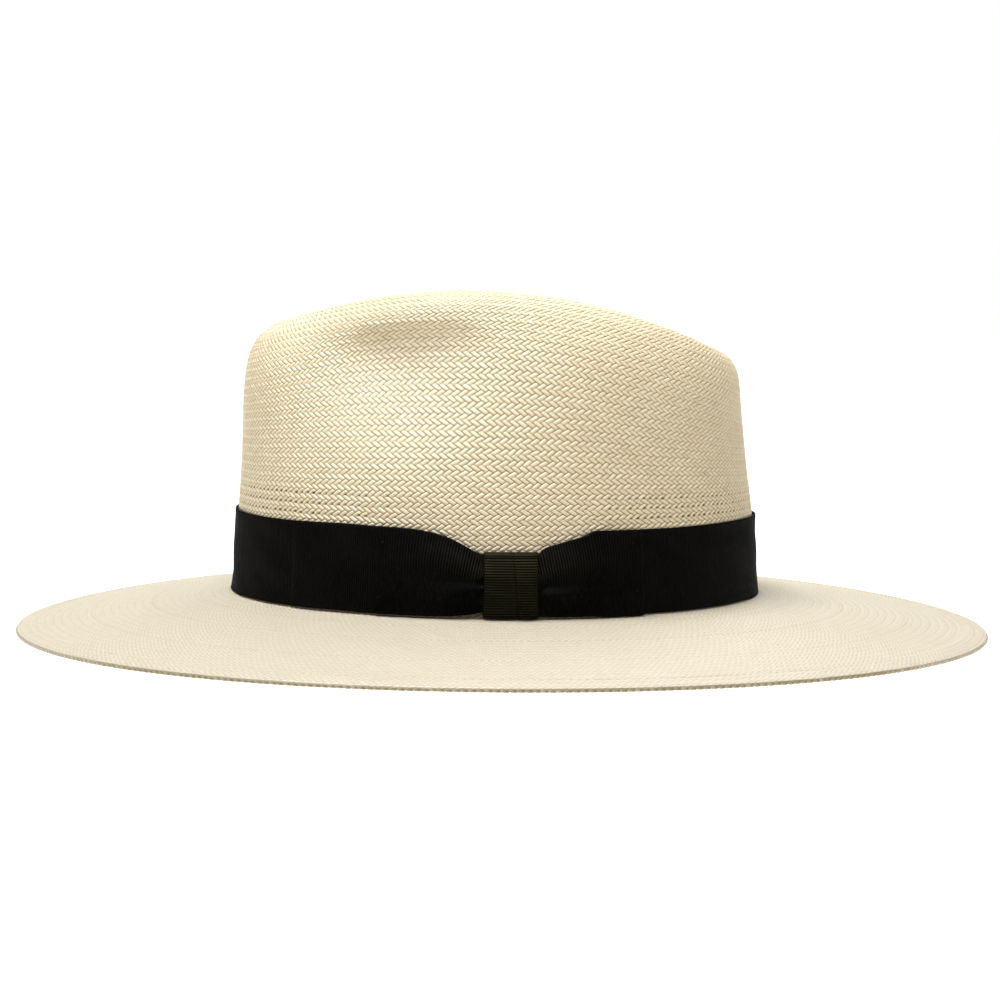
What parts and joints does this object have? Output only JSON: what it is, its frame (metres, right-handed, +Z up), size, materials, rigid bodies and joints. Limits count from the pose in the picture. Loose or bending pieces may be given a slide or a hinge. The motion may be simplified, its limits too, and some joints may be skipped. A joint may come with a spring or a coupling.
{
  "type": "panama hat",
  "caption": "Panama hat in woven straw with a teardrop crown, a wide flat brim with a turned-under edge, a black ribbon band and a flat side bow.",
  "frame": {"origin": "centre of the bounding box at its lowest face, on the surface the hat stands on", "axes": "+Z up, -Y toward the front of the hat, +X toward the wearer's left, where the bow is"},
  "size_m": [0.34, 0.3824, 0.133],
  "materials": {
    "straw": "matt woven toquilla straw",
    "ribbon": "black grosgrain with a soft sheen",
    "knot_ribbon": "black grosgrain seen across its ribs",
    "black_thread": "matt thread",
    "straw_thread": "matt thread",
    "leather": "satin",
    "reed_plastic": "satin",
    "label": "matt, blank"
  },
  "bodies": {
    "root": {"straw_crown": "straw", "straw_brim": "straw", "brim_hem": "straw", "hem_stitching": "straw_thread", "hat_band": "ribbon", "bow_front_loop": "ribbon", "bow_rear_loop": "ribbon", "bow_knot": "knot_ribbon", "bow_tack_stitches": "black_thread", "sweatband": "leather", "sweatband_reed": "reed_plastic", "sweatband_stitching": "straw_thread", "sweatband_rear_bow": "ribbon", "sweatband_seam_stitching": "straw_thread", "size_tag": "label"}
  },
  "joints": []
}
